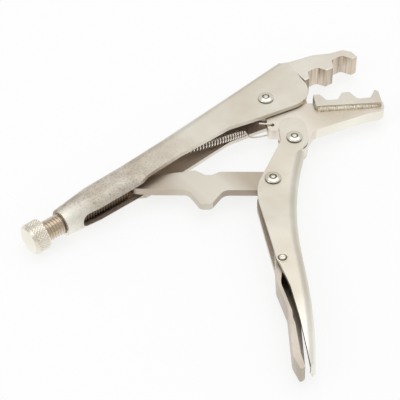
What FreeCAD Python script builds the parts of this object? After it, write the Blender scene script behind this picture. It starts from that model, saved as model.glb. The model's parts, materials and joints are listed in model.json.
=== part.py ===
import FreeCAD, Part
import math
import os

V = FreeCAD.Vector
os.makedirs("parts", exist_ok=True)

# Locking crimping pliers, lying open on their side.
# X runs along the adjusting screw towards the jaws, Z runs through the thickness.
# The model is built about the jaw pivot and moved at the end, so that the middle
# of the underside of the whole tool is the origin.

# Pivots, in millimetres and degrees
jaw_pivot_height = 2.0       # jaw pivot above the screw's centre line
nose_reach = 87.1            # jaw pivot back to the end of the toggle link
jaw_arm = 31.3               # jaw pivot to handle pivot
handle_arm = 30.7            # handle pivot to link pivot
opening_angle = 26.5         # swing of the lower jaw from shut to open
shut_arm_angle = -77.9       # direction from jaw pivot to handle pivot, jaws shut
handle_slope = 29.2          # lower handle against the screw, jaws open
bite_angle = -5.4            # line where the shut jaws meet, through the jaw pivot
lever_pivot_back = 78.4      # release lever's pin behind the handle pivot
lever_pivot_drop = 21.6      # and below the line through handle and link pivots

# Sheet and fits
wall = 2.0                   # steel sheet of both handles
pin_clearance = 0.05         # radial, round each turning pin
side_clearance = 0.3         # beside each moving plate
seam_gap = 0.6               # jaw block behind the handle's front edge, level with the jaw pivot
seam_closed_height = 4.9     # above this the two meet and are ground flush

# Upper handle
handle_rear = 126.5          # jaw pivot back to the nut end
nut_end_length = 18.5        # narrowed end that is threaded for the screw
nut_end_half_width = 6.5
nut_end_rise = 6.6           # back of the handle above the screw's centre line
grip_half_width = 7.5
grip_rise = 9.2
waist_back = 60.0            # where the handle starts to narrow and rise
waist_rise = 11.7
flare_end_back = 12.0        # where it reaches its front width
front_half_width = 5.5
front_rise = 20.9
front_reach = 26.8           # jaw pivot to the front edge's top
fold_top_reach = 23.8        # the folded back stops a little before that
front_edge_height = 14.3
front_corner_radius = 13.0
front_corner_reach = 20.8
front_corner_drop = 15.6
kink_back = 28.0             # bend in the plates' lower edge
kink_drop = 5.4
waist_drop = 6.5
mouth_back = 86.0            # where the open channel becomes a rolled tube
slot_back = 118.5            # rear end of the slot under the screw
slot_half_width = 3.6
slot_mouth_half_width = 3.9  # the slot widens to this at the tube's mouth
front_fold_radius = 4.0
tab_back = 62.0              # lanced tab that holds the spring
tab_length = 6.0
tab_width = 3.6

# Jaws, measured along and square to the bite line
jaw_thickness = 11.0
face_gap = 0.4               # between the shut jaws
block_rear = 23.8
upper_nose = 58.2
lower_nose = 56.9
rear_nest_flats = 10.0       # hexagonal crimping nests
rear_nest_reach = 32.8
front_nest_flats = 11.3
front_nest_reach = 48.7
nest_corner_radius = 1.8
upper_root_height = 17.2
upper_mid_reach = 39.5
upper_mid_height = 14.5
upper_step_reach = 48.2
upper_step_height = 10.7
upper_nose_height = 9.3
tang_length = 13.0           # part of the upper jaw held between the plates
tang_height = 11.5
lower_block_rear_height = 8.7
lower_block_front_height = 9.9
shank_thickness = 5.8
shank_nose = 58.2
shank_nose_depth = 13.2
shank_lip_depth = 6.6        # top of the shank's lip in front of the die block
shank_shoulder = 3.5         # shank behind the die block, below the bite line
shank_under_reach = 48.0
shank_under_depth = 14.9
shank_bend_reach = 20.5      # where the underside leaves the handle pivot's boss
shank_bend_depth = 23.6
jaw_boss_radius = 8.0
handle_boss_radius = 7.0
spring_hole_radius = 1.1
spring_hole_reach = 0.7
spring_hole_depth = 17.1
tail_reach = 2.0             # tail's rear edge behind the jaw pivot
tail_depth = 21.0
weld_leg = 2.4

# Rivets
rivet_radius = 3.0
rivet_head_radius = 3.8
rivet_head_height = 1.3
lever_pin_radius = 1.9
lever_head_radius = 2.4
lever_head_height = 0.7

# Lower handle, in its own frame: X from the link pivot to the handle pivot
ear_half_width = 5.3
ear_radius = 6.7
ear_lean = 26.0              # front ears lean up from the handle's line
ear_length = 8.0
neck_depth = 12.5            # handle's back below the link pivot
belly_back = 58.0
belly_depth = 22.2
belly_half_width = 7.0
heel_back = 88.0
heel_depth = 37.7
thigh_back = 109.0
thigh_depth = 47.3
lower_length = 129.2         # handle pivot back to the tip
lower_tip_depth = 54.7
lower_tip_half_width = 5.2
lower_tip_height = 2.6
lower_fold_radius = 4.5
rim_height = 5.4             # open edge above the pivots' line
rim_bend_back = 40.0
rim_lever_height = 2.8       # open edge above the release lever's pin
rim_heel_back = 93.0
rim_heel_depth = 30.6
rim_tail_back = 108.0
rim_tail_depth = 40.0
far_rim_drop = 3.0           # far open edge below the near one, under the lever's tail

# Toggle link, X from the link pivot to its nose
link_thickness = 3.8
link_eye_radius = 6.2
link_upper_edge = 7.9
link_lower_edge = 4.6
link_bump_reach = 31.5
link_bump_depth = 14.0
link_bump_top = 5.2
link_bump_base = 17.0
link_dip = 2.3
link_dip_start = 25.0
link_dip_length = 3.0
link_dip_slope = 4.0
link_crest_reach = 37.0
link_crest_length = 7.0
link_crest_fall = 1.6
link_crest_height = 8.9
link_neck_length = 8.0
nose_radius = 4.0
toggle_gap = 3.4             # open screw tip to link nose, so the link can swing

# Release lever, in the lower handle's frame
lever_sheet = 1.4
lever_side_gap = 0.6         # beside the lever in the lower handle's channel
lever_nose_back = 62.0
lever_nose_drop = 1.1        # below the line from the pin to the lower handle's tip
lever_nose_height = 6.0
lever_web_rise = 3.2         # outer face above the pin
lever_knee_back = 90.5
lever_knee_rise = 6.2        # above that line, as the three that follow
lever_shin_back = 104.0
lever_shin_rise = 4.9
lever_tail_back = 127.5
lever_tail_rise = 9.8
lever_end_back = 133.6
lever_end_rise = 8.0
lever_end_width = 2.4        # rounded end, seen from the side
lever_ear_depth = 4.6        # flanges below the pin
lever_ear_reach = 3.4        # and to each side of it
lever_rim_slim = 1.9         # near edge from the pin to the jog, with no rim
lever_jog_back = 107.5       # where the near rim begins
lever_rim_near = 2.7         # shallow near rim along the tail
lever_rim_far = 5.0          # deeper far rim along the tail

# Adjusting screw and knob
screw_radius = 5.0
screw_thread_clearance = 0.05
screw_chamfer = 1.2
knob_gap = 10.2              # bare thread between handle and knob
knob_radius = 7.5
knob_length = 8.0
knob_chamfer = 1.2

# Tension spring
spring_radius = 2.3
spring_wire = 0.9
spring_pitch = 1.5
spring_front_gap = 9.5       # hook length from the jaw's hole to the coils
spring_rear_gap = 5.0


# Frames and outlines

def polar(start, distance, degrees):
    turn = math.radians(degrees)
    return start + V(math.cos(turn), math.sin(turn), 0) * distance


def placed(shape, origin, degrees):
    """Copy of a shape turned about Z and moved from its own frame to the tool's."""
    moved = shape.copy()
    moved.rotate(V(0, 0, 0), V(0, 0, 1), degrees)
    moved.translate(origin)
    return moved


def in_frame(point, origin, degrees):
    """A point of the tool given in a frame at the origin, turned by some degrees."""
    offset = point - origin
    turn = math.radians(-degrees)
    x = offset.x * math.cos(turn) - offset.y * math.sin(turn)
    y = offset.x * math.sin(turn) + offset.y * math.cos(turn)
    return V(x, y, 0)


def rounded_outline(corners):
    """Closed wire through corners of (x, y, radius), each rounded by its radius."""
    points = [V(x, y, 0) for x, y, radius in corners]
    count = len(corners)
    edges = []
    starts = []
    ends = []
    mids = []
    for index in range(count):
        here = points[index]
        before = points[index - 1] - here
        after = points[(index + 1) % count] - here
        room = 0.49 * min(before.Length, after.Length)
        before.normalize()
        after.normalize()
        half = before.getAngle(after) / 2
        flat = abs(math.cos(half)) < 1e-3
        cut = 0 if flat else min(corners[index][2] / math.tan(half), room)
        starts.append(here + before * cut)
        ends.append(here + after * cut)
        inward = before + after
        if cut > 1e-6:
            inward.normalize()
            radius = cut * math.tan(half)
            centre = here + inward * (radius / math.sin(half))
            mids.append(centre - inward * radius)
        else:
            mids.append(None)
    for index in range(count):
        if mids[index] is not None:
            edges.append(Part.Arc(starts[index], mids[index], ends[index]).toShape())
        following = starts[(index + 1) % count]
        if (following - ends[index]).Length > 1e-6:
            edges.append(Part.LineSegment(ends[index], following).toShape())
    return Part.Wire(edges)


def plate(corners, half_thickness):
    """Flat plate about the middle plane, from an outline of rounded corners."""
    face = Part.Face(rounded_outline(corners))
    face.translate(V(0, 0, -half_thickness))
    return face.extrude(V(0, 0, 2 * half_thickness))


def disc(centre, radius, low, high):
    return Part.makeCylinder(radius, high - low, V(centre.x, centre.y, low), V(0, 0, 1))


def hexagon(reach, flats, half_height, corner_radius):
    """Six-sided prism with two corners on the bite line."""
    corner = flats / math.sqrt(3)
    corners = []
    for step in range(6):
        turn = math.radians(60 * step)
        on_line = step % 3 == 0
        radius = 0 if on_line else corner_radius
        corners.append((reach + corner * math.cos(turn), corner * math.sin(turn), radius))
    return plate(corners, half_height)


def between(position, knots):
    """Value at a position, drawn straight between knots of (position, value)."""
    for (x0, y0), (x1, y1) in zip(knots, knots[1:]):
        if position <= x1:
            share = max(0.0, (position - x0) / (x1 - x0))
            return y0 + (y1 - y0) * share
    return knots[-1][1]


# Folded sheet channels

def channel_section(back, inward, half_width, depth, fold_radius, lip_radius):
    """Wire round a channel, from the middle of its back to its depth inward."""
    fold = min(fold_radius, half_width - 0.1, depth / 2 - 0.1)
    lip = min(lip_radius, half_width - 0.1, depth / 2 - 0.1)
    bend = math.sqrt(0.5)

    def at(down, side):
        return back + inward * down + V(0, 0, 1) * side

    def arc(first, middle, last):
        return Part.Arc(at(*first), at(*middle), at(*last)).toShape()

    def line(first, last):
        return Part.LineSegment(at(*first), at(*last)).toShape()

    near_fold = half_width - fold
    near_lip = half_width - lip
    fold_mid = fold * (1 - bend)
    lip_mid = depth - lip * (1 - bend)
    wide_fold = near_fold + fold * bend
    wide_lip = near_lip + lip * bend
    return Part.Wire([
        line((0, -near_fold), (0, near_fold)),
        arc((0, near_fold), (fold_mid, wide_fold), (fold, half_width)),
        line((fold, half_width), (depth - lip, half_width)),
        arc((depth - lip, half_width), (lip_mid, wide_lip), (depth, near_lip)),
        line((depth, near_lip), (depth, -near_lip)),
        arc((depth, -near_lip), (lip_mid, -wide_lip), (depth - lip, -half_width)),
        line((depth - lip, -half_width), (fold, -half_width)),
        arc((fold, -half_width), (fold_mid, -wide_fold), (0, -near_fold)),
    ])


def folded_shell(stations, thickness):
    """Closed tube of sheet lofted through stations, open at both ends."""
    outer = [channel_section(*station) for station in stations]
    inner = []
    run = stations[1][0] - stations[0][0]
    run.normalize()
    last_run = stations[-1][0] - stations[-2][0]
    last_run.normalize()
    for back, inward, half_width, depth, fold, lip in stations:
        inner.append((back + inward * thickness, inward, half_width - thickness,
                      depth - 2 * thickness, max(fold - thickness, 0.5), max(lip - thickness, 0.5)))
    first = (inner[0][0] - run,) + inner[0][1:]
    final = (inner[-1][0] + last_run,) + inner[-1][1:]
    hollow = [channel_section(*station) for station in [first] + inner + [final]]
    body = Part.makeLoft(outer, True, True)
    return body.cut(Part.makeLoft(hollow, True, True))


# Pivot places

jaw_pivot = V(0, 0, 0)
screw_height = -jaw_pivot_height
open_bite = bite_angle - opening_angle
handle_pivot = polar(jaw_pivot, jaw_arm, shut_arm_angle - opening_angle)
link_pivot = polar(handle_pivot, handle_arm, 180 + handle_slope)
link_nose = V(-nose_reach, screw_height, 0)
link_span = link_nose - link_pivot
link_length = link_span.Length
link_angle = math.degrees(math.atan2(link_span.y, link_span.x))
lever_pin_place = V(-lever_pivot_back, -lever_pivot_drop, 0)
front_inner = front_half_width - wall
ear_inner = ear_half_width - wall


# Upper handle and what is fixed to it

def upper_handle_shell():
    widths = [(-handle_rear, nut_end_half_width), (-handle_rear + nut_end_length, grip_half_width),
              (-waist_back, grip_half_width), (-flare_end_back, front_half_width),
              (front_reach, front_half_width)]
    rises = [(-handle_rear, nut_end_rise), (-handle_rear + nut_end_length, grip_rise),
             (-waist_back, waist_rise), (front_reach, front_rise)]
    drops = [(-handle_rear, nut_end_half_width), (-handle_rear + nut_end_length, grip_half_width),
             (-mouth_back, grip_half_width), (-waist_back, 3 * grip_half_width),
             (front_reach, 3 * grip_half_width)]
    folds = [(-handle_rear, nut_end_half_width), (-mouth_back, grip_half_width),
             (-flare_end_back, front_fold_radius), (front_reach, front_fold_radius)]
    lips = [(-handle_rear, nut_end_half_width), (-mouth_back, grip_half_width),
            (-waist_back, wall), (front_reach, wall)]
    places = [-handle_rear, -handle_rear + nut_end_length / 2, -handle_rear + nut_end_length,
              -(handle_rear - nut_end_length + mouth_back) / 2, -mouth_back,
              -(mouth_back + waist_back) / 2, -waist_back, -(waist_back * 2 + flare_end_back) / 3,
              -(waist_back + flare_end_back * 2) / 3, -flare_end_back, front_reach]
    stations = []
    for x in places:
        top = between(x, rises)
        stations.append((V(x, screw_height + top, 0), V(0, -1, 0), between(x, widths),
                         top + between(x, drops), between(x, folds), between(x, lips)))
    return folded_shell(stations, wall)


def upper_handle_side():
    """Side view of the upper handle, which trims the folded shell."""
    far = 5 * grip_half_width
    corners = [
        (-handle_rear - 1, far, 0),
        (-handle_rear - 1, -far, 0),
        (-mouth_back, -far, 0),
        (-mouth_back, slot_edge_height(slot_mouth_half_width), 0),
        (-waist_back, -waist_drop, 40),
        (-kink_back, -kink_drop, 12),
        (front_corner_reach, -front_corner_drop, front_corner_radius),
        (front_reach, front_edge_height, 1),
        (fold_top_reach, front_edge_height + 1.2, 0.5),
        (fold_top_reach, far, 0),
    ]
    return plate(corners, far)


def upper_handle():
    body = upper_handle_shell().common(upper_handle_side())
    bore = Part.makeCylinder(screw_radius + screw_thread_clearance, nut_end_length + 1,
                             V(-handle_rear - 1, screw_height, 0), V(1, 0, 0))
    body = body.cut(slot_space().fuse(bore))
    hole = disc(jaw_pivot, rivet_radius, -grip_half_width * 2, grip_half_width * 2)
    return body.cut(hole).fuse(spring_tab()).removeSplitter()


def slot_edge_height(half_width):
    """Height of the slot's edge on the round tube, where it is so wide."""
    return screw_height - math.sqrt(grip_half_width ** 2 - half_width ** 2)


def slot_space():
    """Space of the slot under the screw, which widens towards the tube's mouth."""
    start = -slot_back + slot_half_width
    below = screw_height - 2 * grip_half_width
    depth = 2 * grip_half_width
    corners = [V(start, below, -slot_half_width), V(-mouth_back, below, -slot_mouth_half_width),
               V(-mouth_back + grip_half_width, below, -slot_mouth_half_width),
               V(-mouth_back + grip_half_width, below, slot_mouth_half_width),
               V(-mouth_back, below, slot_mouth_half_width), V(start, below, slot_half_width)]
    space = Part.Face(Part.makePolygon(corners + [corners[0]])).extrude(V(0, depth, 0))
    round_end = Part.makeCylinder(slot_half_width, depth, V(start, below, 0), V(0, 1, 0))
    return space.fuse(round_end)


def handle_top(x):
    """Height of the upper handle's back over the pivots' level."""
    rises = [(-handle_rear + nut_end_length, grip_rise), (-waist_back, waist_rise),
             (front_reach, front_rise)]
    return screw_height + between(x, rises)


def tab_place():
    """Middle of the hole in the spring's tab."""
    return V(-tab_back, handle_top(-tab_back) - wall - tab_length + tab_width / 2, 0)


def spring_tab():
    """Tab that hangs from the handle's back and carries the spring's rear hook."""
    eye = tab_place()
    root = handle_top(-tab_back) - wall / 2
    stem = Part.makeBox(tab_width, root - eye.y, wall, V(-tab_back - tab_width / 2, eye.y, -wall / 2))
    tip = disc(eye, tab_width / 2, -wall / 2, wall / 2)
    hole = disc(eye, spring_wire, -wall, wall)
    return stem.fuse(tip).cut(hole)


def rear_face_x(height):
    """Place of the jaw block's rear face, on the handle's front edge or in front of it."""
    rise = front_edge_height + front_corner_drop
    slope = (front_reach - front_corner_reach) / rise
    gap = seam_gap * max(0.0, 1 - height / seam_closed_height)
    return front_reach + gap - slope * (front_edge_height - height)


def nests(half_height):
    rear = hexagon(rear_nest_reach, rear_nest_flats, half_height, nest_corner_radius)
    front = hexagon(front_nest_reach, front_nest_flats, half_height, nest_corner_radius)
    return rear.fuse(front)


def upper_jaw():
    """Forged jaw: a block in front of the handle and a tang between its plates."""
    face = face_gap / 2
    half = jaw_thickness / 2
    corners = [
        (0, face, 0),
        (upper_nose, face, 1.2),
        (upper_nose, upper_nose_height * 0.6, 3),
        (upper_nose - 3, upper_nose_height, 3),
        (upper_step_reach, upper_step_height, 6),
        (upper_mid_reach, upper_mid_height, 6),
        (block_rear, upper_root_height, 4),
        (0, upper_root_height, 0),
    ]
    block = placed(plate(corners, half), jaw_pivot, bite_angle)
    far = 4 * jaw_thickness
    front = [
        (rear_face_x(-far), -far, 0),
        (3 * far, -far, 0),
        (3 * far, far, 0),
        (rear_face_x(far), far, 0),
        (rear_face_x(seam_closed_height), seam_closed_height, 0),
    ]
    block = block.common(plate(front, far))
    edges = [edge for edge in block.Edges if is_top_edge(edge, half)]
    block = block.makeFillet(0.8, edges)
    tang_half = front_inner - 0.1
    tang = [
        (front_reach - tang_length - 6, face + 0.4, 0),
        (front_reach + 2, face + 0.4, 0),
        (front_reach + 2, tang_height, 0),
        (front_reach - tang_length - 2, tang_height, 3),
    ]
    tongue = placed(plate(tang, tang_half), jaw_pivot, bite_angle)
    tongue = tongue.cut(disc(jaw_pivot, jaw_boss_radius + 2 * side_clearance, -half, half))
    body = block.fuse(tongue)
    return body.cut(placed(nests(half + 1), jaw_pivot, bite_angle)).removeSplitter()


def is_top_edge(edge, half):
    """Whether an edge runs along the jaw's back, on either side of the block."""
    middle = edge.CenterOfMass
    box = edge.BoundBox
    on_side = abs(abs(middle.z) - half) < 1e-6 and box.ZLength < 1e-6
    local = in_frame(middle, jaw_pivot, bite_angle)
    inside = local.x > front_reach + 1 and local.y > upper_nose_height * 0.5
    return on_side and inside


def biggest(shape):
    return max(shape.Solids, key=lambda solid: solid.Volume)


# Rivets

def domed_rivet(centre, radius, head_radius, head_height, seat):
    """Shank through the plates with a domed head on each side, past the seat."""
    shank = disc(centre, radius, -seat, seat)
    dome = (head_radius ** 2 + head_height ** 2) / (2 * head_height)
    body = shank
    for side in (-1, 1):
        ball = Part.makeSphere(dome, V(centre.x, centre.y, side * (seat + head_height - dome)))
        if side > 0:
            keep = disc(centre, head_radius, seat, seat + head_height)
        else:
            keep = disc(centre, head_radius, -seat - head_height, -seat)
        body = body.fuse(ball.common(keep))
    return body.removeSplitter()


# Lower jaw, in the frame of its bite line

def lower_jaw():
    """Thin shank from both pivots to the nose, with the tail that holds the spring."""
    half = shank_thickness / 2
    eye = in_frame(handle_pivot, jaw_pivot, open_bite)
    seat_rear = -lower_block_rear_height
    corners = [
        (shank_nose, -shank_lip_depth, 0.6),
        (lower_nose, -shank_lip_depth, 0),
        (lower_nose, die_foot(lower_nose), 0),
        (block_rear - 0.7, seat_rear, 0.5),
        (block_rear - 0.7, -shank_shoulder, 1),
        (jaw_boss_radius * 0.8, -shank_shoulder * 0.9, 2),
        (jaw_boss_radius * 0.3, 0, 0),
        (-jaw_boss_radius * 0.4, 0, 0),
        (-tail_reach * 0.6, -jaw_boss_radius, 6),
        (-tail_reach, -tail_depth, 2.2),
        (eye.x - handle_boss_radius * 0.8, -tail_depth - 0.5, 2),
        (eye.x - handle_boss_radius * 0.98, eye.y, 0),
        (eye.x, eye.y, 0),
        (eye.x + handle_boss_radius, eye.y + 0.5, 0),
        (shank_bend_reach, -shank_bend_depth, 5),
        (shank_under_reach, -shank_under_depth, 20),
        (shank_nose, -shank_nose_depth, 4.2),
    ]
    body = plate(corners, half)
    body = body.fuse([disc(jaw_pivot, jaw_boss_radius, -half, half),
                      disc(eye, handle_boss_radius, -half, half)])
    holes = [disc(jaw_pivot, rivet_radius + pin_clearance, -half - 1, half + 1),
             disc(eye, rivet_radius, -half - 1, half + 1),
             disc(V(spring_hole_reach, -spring_hole_depth, 0), spring_hole_radius, -half - 1, half + 1)]
    return placed(body.cut(holes).removeSplitter(), jaw_pivot, open_bite)


def lower_die_block():
    half = jaw_thickness / 2
    face = -face_gap / 2
    corners = [
        (lower_nose, face, 2.2),
        (block_rear, face, 0.6),
        (block_rear, -lower_block_rear_height, 0),
        (lower_nose, die_foot(lower_nose), 0),
    ]
    body = plate(corners, half).cut(nests(half + 1))
    return placed(body, jaw_pivot, open_bite)


def die_foot(reach):
    """Depth of the die block's underside, on the line of the shank's seat."""
    rear = block_rear - 0.7
    share = (reach - rear) / (shank_nose - rear)
    return -lower_block_rear_height + (lower_block_rear_height - lower_block_front_height) * share


def die_block_welds(block, shank):
    """Fillet welds under the die block, along both sides of the shank."""
    start = block_rear + weld_leg / 2
    stop = lower_nose - weld_leg
    solids = []
    for side in (-1, 1):
        first = V(start, die_foot(start), side * shank_thickness / 2)
        last = V(stop, die_foot(stop), side * shank_thickness / 2)
        run = last - first
        bead = Part.makeCylinder(weld_leg, run.Length, first, run)
        bead = placed(bead, jaw_pivot, open_bite)
        solids.append(biggest(bead.cut(block).cut(shank)))
    return Part.makeCompound(solids)


# Lower handle, in the frame of its two front pivots

def lower_back_curve():
    """Line of the lower handle's folded back, seen from the side."""
    curve = Part.BSplineCurve()
    curve.interpolate([V(ear_radius, -ear_radius + 1, 0), V(-handle_arm, -neck_depth, 0),
                       V(-belly_back, -belly_depth, 0), V(-heel_back, -heel_depth, 0),
                       V(-thigh_back, -thigh_depth, 0), V(-lower_length, -lower_tip_depth, 0)])
    return curve


def lower_handle_shell():
    curve = lower_back_curve()
    count = 12
    stations = []
    widths = [(-lower_length, lower_tip_half_width), (-rim_tail_back - 4, belly_half_width - 0.4),
              (-heel_back, belly_half_width), (-belly_back, belly_half_width),
              (-handle_arm - 4, ear_half_width), (handle_arm, ear_half_width)]
    first, last = curve.FirstParameter, curve.LastParameter
    for index in range(count + 1):
        parameter = first + (last - first) * index / count
        point = curve.value(parameter)
        run = curve.tangent(parameter)[0]
        inward = V(run.y, -run.x, 0)
        if inward.y < 0:
            inward = inward * -1
        fold = min(lower_fold_radius, between(point.x, widths) - 0.3)
        stations.append((point, inward, between(point.x, widths), 4 * belly_half_width, fold, wall))
    return folded_shell(stations, wall)


def lower_handle_side():
    """Side view of the lower handle behind its ears."""
    pin = lever_pin_place
    far = 3 * belly_half_width
    corners = [
        (far, rim_height, 0),
        (-rim_bend_back, rim_height, 26),
        (pin.x, pin.y + rim_lever_height, 12),
        (-rim_heel_back, -rim_heel_depth, 20),
        (-rim_tail_back, -rim_tail_depth, 30),
        (-lower_length, -lower_tip_depth + lower_tip_height, 1.2),
        (-lower_length, -lower_tip_depth - far, 0),
        (far, -lower_tip_depth - far, 0),
    ]
    return plate(corners, far)


def far_rim_space():
    """Space above the far plate's lower edge, where the lever's far flange comes down."""
    pin = lever_pin_place
    far = 3 * belly_half_width
    corners = [
        (pin.x, far, 0),
        (pin.x, pin.y + rim_lever_height, 0),
        (-rim_heel_back, -rim_heel_depth - far_rim_drop / 2, 20),
        (-rim_tail_back, -rim_tail_depth - far_rim_drop, 20),
        (-lower_length, -lower_tip_depth + lower_tip_height / 2, 0),
        (-lower_length - far, -lower_tip_depth + lower_tip_height / 2, 0),
        (-lower_length - far, far, 0),
    ]
    space = Part.Face(rounded_outline(corners))
    space.translate(V(0, 0, -far))
    return space.extrude(V(0, 0, far - wall))


def lower_handle():
    half = ear_half_width
    body = lower_handle_shell().common(lower_handle_side()).cut(far_rim_space())
    clear = handle_boss_radius + 2 * side_clearance + wall / 2
    body = body.cut(disc(V(0, 0, 0), clear, -2 * half, 2 * half))
    room = 2 * handle_arm
    body = body.cut(Part.makeBox(room, 2 * room, 4 * half, V(-clear * 0.5, -room, -2 * half)))
    ears = [ear_plate(-half, -ear_inner), ear_plate(ear_inner, half)]
    body = body.fuse(ears)
    pin = lever_pin_place
    wide = 2 * belly_half_width
    holes = [disc(V(0, 0, 0), rivet_radius + pin_clearance, -wide, wide),
             disc(V(-handle_arm, 0, 0), rivet_radius, -wide, wide),
             disc(pin, lever_pin_radius, -wide, wide)]
    return placed(body.cut(holes).removeSplitter(), handle_pivot, handle_slope)


def ear_plate(low, high):
    """Front cheek beside the lower jaw, from the neck round the handle pivot."""
    tip = polar(V(0, 0, 0), ear_length, ear_lean)
    reach = handle_boss_radius + 5.0
    outline = rounded_outline([
        (-reach, rim_height, 0),
        (-ear_radius * 0.4, rim_height, 4),
        (tip.x - ear_radius, tip.y + ear_radius * 0.2, 0),
        (tip.x, tip.y, 0),
        (0, -ear_radius, 0),
        (-reach, lower_back_at(-reach) + lower_fold_radius - 0.5, 0),
    ])
    web = Part.Face(outline)
    web.translate(V(0, 0, low))
    body = web.extrude(V(0, 0, high - low))
    round_tip = disc(tip, ear_radius, low, high)
    round_eye = disc(V(0, 0, 0), ear_radius, low, high)
    side = V(-math.sin(math.radians(ear_lean)), math.cos(math.radians(ear_lean)), 0) * ear_radius
    strap = Part.Face(Part.makePolygon([side, tip + side, tip - side, side * -1, side]))
    strap.translate(V(0, 0, low))
    return body.fuse([round_tip, round_eye, strap.extrude(V(0, 0, high - low))])


def lower_back_at(x):
    """Height of the handle's back under a place on the pivots' line."""
    curve = lower_back_curve()
    cut = Part.LineSegment(V(x, rim_height, 0), V(x, -2 * lower_tip_depth, 0)).toShape()
    distance, pairs, info = curve.toShape().distToShape(cut)
    return pairs[0][0].y + 0.05


# Toggle link

def toggle_link():
    half = link_thickness / 2
    reach = link_bump_reach
    span = link_length - nose_radius
    corners = [
        (-link_eye_radius * 0.4, -link_upper_edge, 3),
        (link_dip_start, -link_upper_edge, 4),
        (link_dip_start + link_dip_slope, -link_upper_edge + link_dip, 2),
        (link_dip_start + link_dip_slope + link_dip_length, -link_upper_edge + link_dip, 2),
        (link_crest_reach, -link_crest_height, 4),
        (link_crest_reach + link_crest_length, -link_crest_height + link_crest_fall, 12),
        (span, -nose_radius, 0),
        (span, nose_radius, 0),
        (span - link_neck_length, link_lower_edge, 6),
        (reach + link_bump_base / 2, link_lower_edge, 4),
        (reach + link_bump_top / 2, link_bump_depth, 2.4),
        (reach - link_bump_top / 2, link_bump_depth, 2.4),
        (reach - link_bump_base / 2, link_lower_edge, 5),
        (0, link_lower_edge, 0),
    ]
    body = plate(corners, half)
    body = body.fuse([disc(V(0, 0, 0), link_eye_radius, -half, half),
                      disc(V(span, 0, 0), nose_radius, -half, half)])
    body = body.cut(disc(V(0, 0, 0), rivet_radius + pin_clearance, -half - 1, half + 1))
    return placed(body.removeSplitter(), link_pivot, link_angle)


# Release lever

def lever_line(back):
    """Height of the straight line from the pin to the lower handle's tip."""
    fall = (lower_tip_depth - lever_pivot_drop) / (lower_length - lever_pivot_back)
    return -lever_pivot_drop - (back - lever_pivot_back) * fall


def lever_web(inset):
    """Outer face of the lever's web from its nose to its end, drawn in by some amount."""
    pin = lever_pin_place
    return [
        (-lever_nose_back - inset, lever_line(lever_nose_back) - lever_nose_drop - inset, 1.5),
        (pin.x, pin.y + lever_web_rise - inset, 10),
        (-lever_knee_back, lever_line(lever_knee_back) + lever_knee_rise - inset, 10),
        (-lever_shin_back, lever_line(lever_shin_back) + lever_shin_rise - inset, 8),
        (-lever_tail_back + inset * 0.3, lever_line(lever_tail_back) + lever_tail_rise - inset, 8),
        (-lever_end_back + inset, lever_line(lever_end_back) + lever_end_rise, 3),
    ]


def lever_outline():
    pin = lever_pin_place
    end = lever_line(lever_end_back) + lever_end_rise
    return lever_web(0) + [
        (-lever_end_back + lever_end_width, end - lever_end_width / 2, 1),
        (-lever_tail_back + lever_end_width, lever_line(lever_tail_back) + lever_tail_rise - lever_rim_far, 6),
        (-lever_shin_back, lever_line(lever_shin_back) + lever_shin_rise - lever_rim_far * 1.25, 10),
        (pin.x - lever_ear_reach, pin.y - lever_ear_depth, 6),
        (pin.x + lever_ear_reach, pin.y - lever_ear_depth, 6),
        (-lever_nose_back, lever_line(lever_nose_back) - lever_nose_drop - lever_nose_height, 2),
    ]


def release_lever():
    """Folded lever: web outside, a deep far flange and a shallow near rim."""
    half = lever_half_width()
    body = plate(lever_outline(), half)
    pocket = plate(lever_pocket(), half - lever_sheet)
    body = body.cut(pocket)
    body = body.cut(near_flange_trim(half))
    pin = disc(lever_pin_place, lever_pin_radius + pin_clearance, -2 * half, 2 * half)
    return placed(body.cut(pin).removeSplitter(), handle_pivot, handle_slope)


def lever_half_width():
    return belly_half_width - wall - lever_side_gap


def lever_pocket():
    """Hollow between the flanges, open towards the lower handle."""
    far = -2 * lower_tip_depth
    wall_line = lever_web(lever_sheet)
    return wall_line[:-1] + [
        (-lever_end_back + 1.4 * lever_sheet, lever_line(lever_end_back) + lever_end_rise, 2),
        (-lever_end_back + 2 * lever_sheet, far, 0),
        (-lever_nose_back - lever_sheet, far, 0),
    ]


def near_flange_trim(half):
    """Space cut from the near flange behind the pin, down to a shallow rim after a jog."""
    pin = lever_pin_place
    slim = lever_web(lever_rim_slim)
    shin = lever_line(lever_shin_back) + lever_shin_rise
    tail = lever_line(lever_tail_back) + lever_tail_rise
    far = -2 * lower_tip_depth
    behind = pin.x - lever_ear_reach
    slope = (tail - shin) / (lever_tail_back - lever_shin_back)
    jog = shin + slope * (lever_jog_back - lever_shin_back)
    corners = [
        (behind, pin.y - lever_ear_depth, 0),
        (behind - lever_rim_slim, pin.y - lever_ear_depth * 0.4, 1),
        slim[2],
        (-lever_shin_back, shin - lever_rim_slim, 4),
        (-lever_jog_back, jog - lever_rim_slim, 1),
        (-lever_jog_back - lever_rim_near, jog + slope * lever_rim_near - lever_rim_near, 1),
        (-lever_tail_back + lever_end_width, tail - lever_rim_near, 6),
        (-lever_end_back, lever_line(lever_end_back) + lever_end_rise - lever_rim_near, 0),
        (-lever_end_back, far, 0),
        (behind, far, 0),
    ]
    face = Part.Face(rounded_outline(corners))
    face.translate(V(0, 0, half - lever_sheet - 0.01))
    return face.extrude(V(0, 0, lever_sheet + 1))


# Adjusting screw and knob

def adjusting_screw():
    tip = -nose_reach - toggle_gap
    tail = -handle_rear - knob_gap
    length = tip - tail
    body = Part.makeCylinder(screw_radius, length, V(tail, screw_height, 0), V(1, 0, 0))
    edge = max(body.Edges, key=lambda item: item.CenterOfMass.x)
    return body.makeChamfer(screw_chamfer, [edge])


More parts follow.
